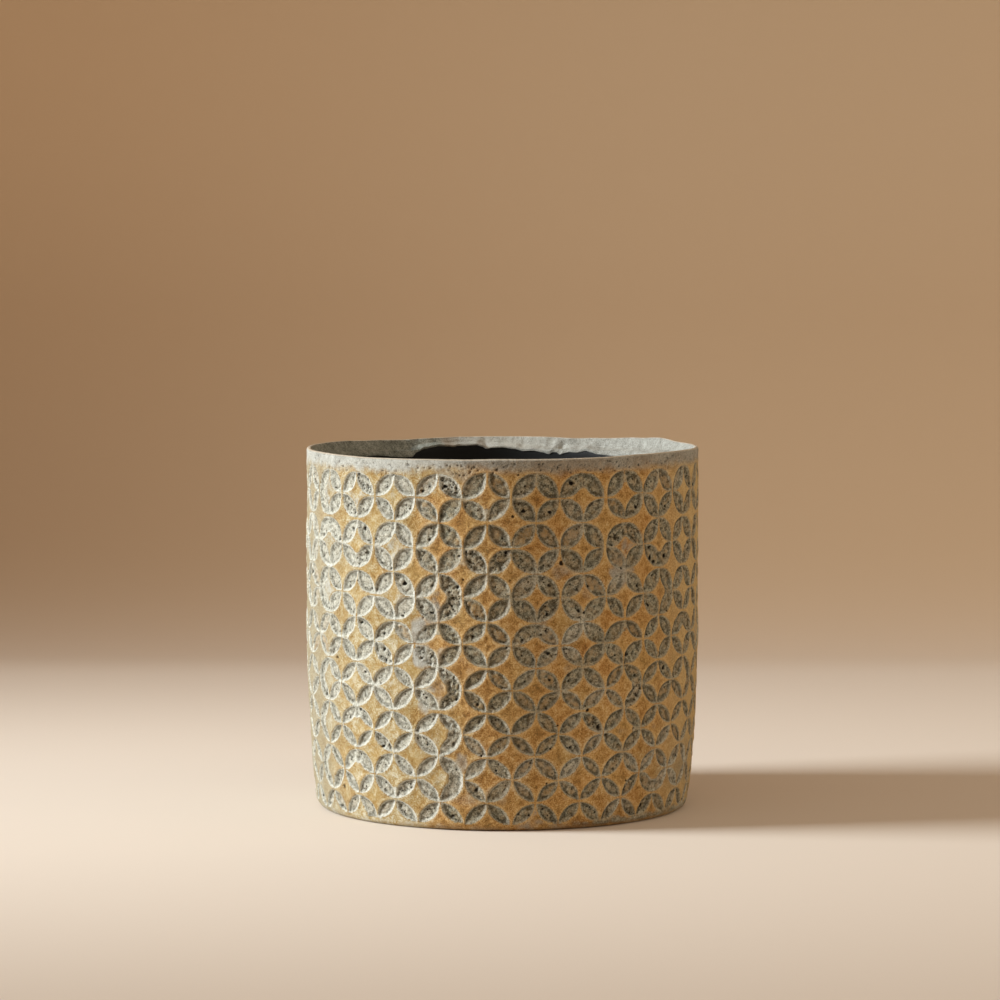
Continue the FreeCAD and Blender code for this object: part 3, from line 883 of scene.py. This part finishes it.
    # painted shade and dirt in the corners, rubbed edges, a painted highlight on the walls that face the
    # key lamp, the worn rim, and painted shade in the pits
    dirt_and_shade = m.range(curve, -0.18, -0.8, 0.0, m.range(worn_lit_west, 0.0, 1.0, 0.52, 0.32))
    colour = m.mix(dirt_and_shade, colour, lin(48, 43, 31))
    rub = m.times(m.larger(ridge, curve), m.range(grain, 0.34, 0.60), clamp=True)
    rub = m.times(rub, m.range(pale, 0.0, 1.0, 0.55, 0.12), clamp=True)
    colour = m.mix(rub, colour, m.mix(pale, lin(196, 160, 108), lin(226, 220, 202)))
    # painted highlight: the recess walls that face the key lamp are painted pale cream
    key_highlight_share = m.times(key_highlight, m.range(grain, 0.34, 0.56, 0.15, 0.56), clamp=True)
    colour = m.mix(key_highlight_share, colour, lin(226, 221, 206))
    colour = m.mix(m.times(lip, 0.5, clamp=True), colour, lin(206, 186, 158))
    # painted shade in the pits of the geometry
    colour = m.mix(m.range(pit, 0.25, 0.9, 0.0, 0.95), colour, lin(30, 26, 20))

    # grain and sand stand out more in the recesses, and the holes go in
    grain_high = m.plus(m.times(in_recess, 0.9), 0.8)
    hole_deep = m.times(m.larger(hole, m.times(fine_hole, 0.6)), m.plus(m.times(in_recess, 0.9), 0.1))
    height = m.minus(m.blend((grain, grain_high), (sand, 0.30)), m.times(hole_deep, 1.2))
    return m.shade(colour, 0.93, 0.22, height, 0.0012, 0.9)


def liner_material():
    m = Nodes("black_liner_finish")
    grain, cloud = m.noise(1.6, 3.0, 0.6), m.noise(0.05, 2.0, 0.5)
    colour = m.ramp(m.blend((grain, 0.6), (cloud, 0.4)), BLACK)
    return m.shade(colour, m.range(grain, 0.3, 0.7, 0.55, 0.72), 0.2, grain, 0.0003, 0.5)


def paper_material():
    """Pale paper, with painted shade that makes it warmer and darker behind the pot and to the left; x, y
    and z in millimetres.
    """
    m = Nodes("pale_paper")
    x, y, z = m.axes()
    right, rise = m.range(x, -650.0, 250.0), m.range(z, 50.0, 700.0)
    backdrop = m.mix(right, m.mix(rise, lin(178, 151, 123), lin(201, 171, 138)),
                     m.mix(rise, lin(197, 172, 143), lin(207, 184, 156)))
    return m.shade(m.mix(m.range(y, 800.0, 1220.0), lin(216, 203, 188), backdrop), 0.9, 0.1)


pot_mesh.materials.append(cement_material())
liner_mesh.materials.append(liner_material())
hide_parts("cement_pot")
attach(pot, "root")
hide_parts("liner")
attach(liner, "root")


# ---------------------------------------------------------------- stage, lamps and camera, in metres
def sweep():
    """One sheet of paper, floor and backdrop, with a bend between them."""
    half, back, bend, high, near = 5.0, 1.30, 0.35, 4.2, -5.0
    line = [(near, 0.0), (-1.5, 0.0), (0.4, 0.0)]
    for s in np.linspace(0.0, RIGHT_ANGLE, 20):
        line.append((back - bend + bend * math.sin(s), bend * (1.0 - math.cos(s))))
    line.append((back, high))
    verts = [(x, y, z) for y, z in line for x in (-half, half)]
    faces = [(2 * n, 2 * n + 1, 2 * n + 3, 2 * n + 2) for n in range(len(line) - 1)]
    mesh = bpy.data.meshes.new("sweep")
    mesh.from_pydata(verts, [], faces)
    mesh.polygons.foreach_set("use_smooth", [True] * len(faces))
    mesh.materials.append(paper_material())
    obj = add_object("sweep", mesh)


def lamp(name, azimuth, elevation, distance, size, power, colour, spread=180.0):
    """A square lamp aimed at the middle of the pot; azimuth 0 is the front, 90 the right."""
    aim = Vector((0.0, 0.0, 0.13))
    t, e = math.radians(azimuth), math.radians(elevation)
    way = Vector((math.cos(e) * math.sin(t), -math.cos(e) * math.cos(t), math.sin(e)))
    data = bpy.data.lights.new(name, "AREA")
    data.shape = "SQUARE"
    data.size = size
    data.energy = power
    data.color = colour
    data.spread = math.radians(spread)
    obj = add_object(name, data)
    obj.location = aim + way * distance
    obj.rotation_euler = way.to_track_quat("Z", "Y").to_euler()


sweep()
lamp("key", -84.5, 24.0, 3.2, 1.05, 15.4, (0.86, 0.94, 1.0), spread=45.0)
lamp("fill", 80.0, 18.0, 3.4, 2.2, 22.0, (1.0, 0.86, 0.66))

scene = bpy.context.scene
scene.world = bpy.data.worlds.new("studio")
scene.world.use_nodes = True
background = scene.world.node_tree.nodes["Background"]
background.inputs["Color"].default_value = (1.0, 0.82, 0.65, 1.0)
background.inputs["Strength"].default_value = 0.51

# the camera fitted to the photograph's rim, foot and outlines: 4.32 degrees down
camera_data = bpy.data.cameras.new("photo_camera")
camera_data.lens = 140.7
camera_data.sensor_width = 36.0
camera = add_object("photo_camera", camera_data)
camera.location = (-0.0018, -2.991, 0.460)
camera.rotation_euler = (math.radians(90.0 - 4.32), 0.0, 0.0)
scene.camera = camera
scene.view_settings.view_transform = "Standard"
